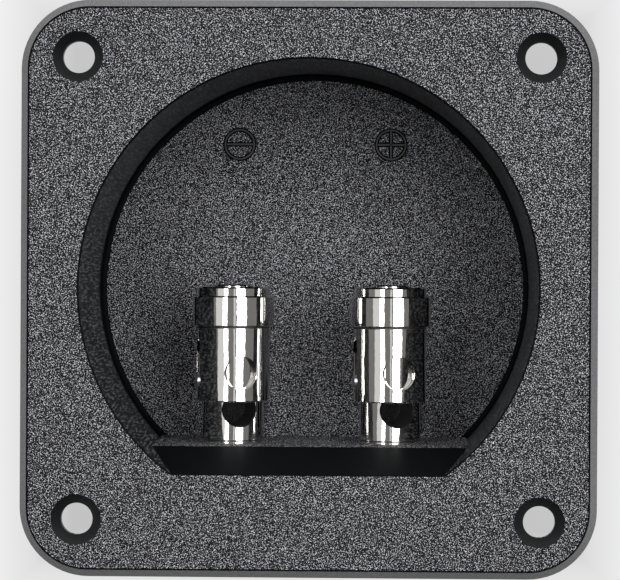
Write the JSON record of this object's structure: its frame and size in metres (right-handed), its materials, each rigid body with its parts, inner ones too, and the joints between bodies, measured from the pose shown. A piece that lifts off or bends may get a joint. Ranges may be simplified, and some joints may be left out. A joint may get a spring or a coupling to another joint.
{
  "type": "speaker terminal plate",
  "caption": "Square moulded plate with a round recess and sprung push terminals on a ledge, for joining loudspeaker wire through a cabinet wall.",
  "frame": {"origin": "middle of the four screw holes, on the flange's back face", "axes": "+Z out of the plate's face, +Y from the ledge to the middle of the recess, +X to the right as seen from the front"},
  "size_m": [0.095, 0.095, 0.0416],
  "materials": {
    "moulding": "black moulding, fine sparked texture on the face, recess floor and ledge",
    "bright_plating": "polished bright plating on turned brass",
    "pin_steel": "ground steel",
    "spring_steel": "drawn spring wire",
    "zinc_plating": "zinc-plated steel",
    "tinned_brass": "tin-plated pressed brass"
  },
  "bodies": {
    "plate": {"terminal_cup": "moulding", "negative_foot_washer": "bright_plating", "negative_stem": "bright_plating", "negative_guide_pin": "pin_steel", "negative_return_spring": "spring_steel", "negative_solder_tab": "tinned_brass", "negative_rear_washer": "zinc_plating", "negative_clamp_nut": "zinc_plating", "negative_lock_washer": "zinc_plating", "negative_tab_nut": "zinc_plating", "positive_foot_washer": "bright_plating", "positive_stem": "bright_plating", "positive_guide_pin": "pin_steel", "positive_return_spring": "spring_steel", "positive_solder_tab": "tinned_brass", "positive_rear_washer": "zinc_plating", "positive_clamp_nut": "zinc_plating", "positive_lock_washer": "zinc_plating", "positive_tab_nut": "zinc_plating"},
    "negative_sleeve": {"negative_sleeve": "bright_plating"},
    "positive_sleeve": {"positive_sleeve": "bright_plating"}
  },
  "joints": [
    {"name": "negative_sleeve_press", "type": "slide", "parent": "plate", "child": "negative_sleeve", "axis": [0, -0.9999, -0.0161], "range_m": [0, 0.0063], "stiffness_N_per_m": 800, "springref_m": -0.004, "deforming": ["negative_return_spring"]},
    {"name": "positive_sleeve_press", "type": "slide", "parent": "plate", "child": "positive_sleeve", "axis": [0, -0.9999, -0.0161], "range_m": [0, 0.0063], "stiffness_N_per_m": 800, "springref_m": -0.004, "deforming": ["positive_return_spring"]}
  ]
}
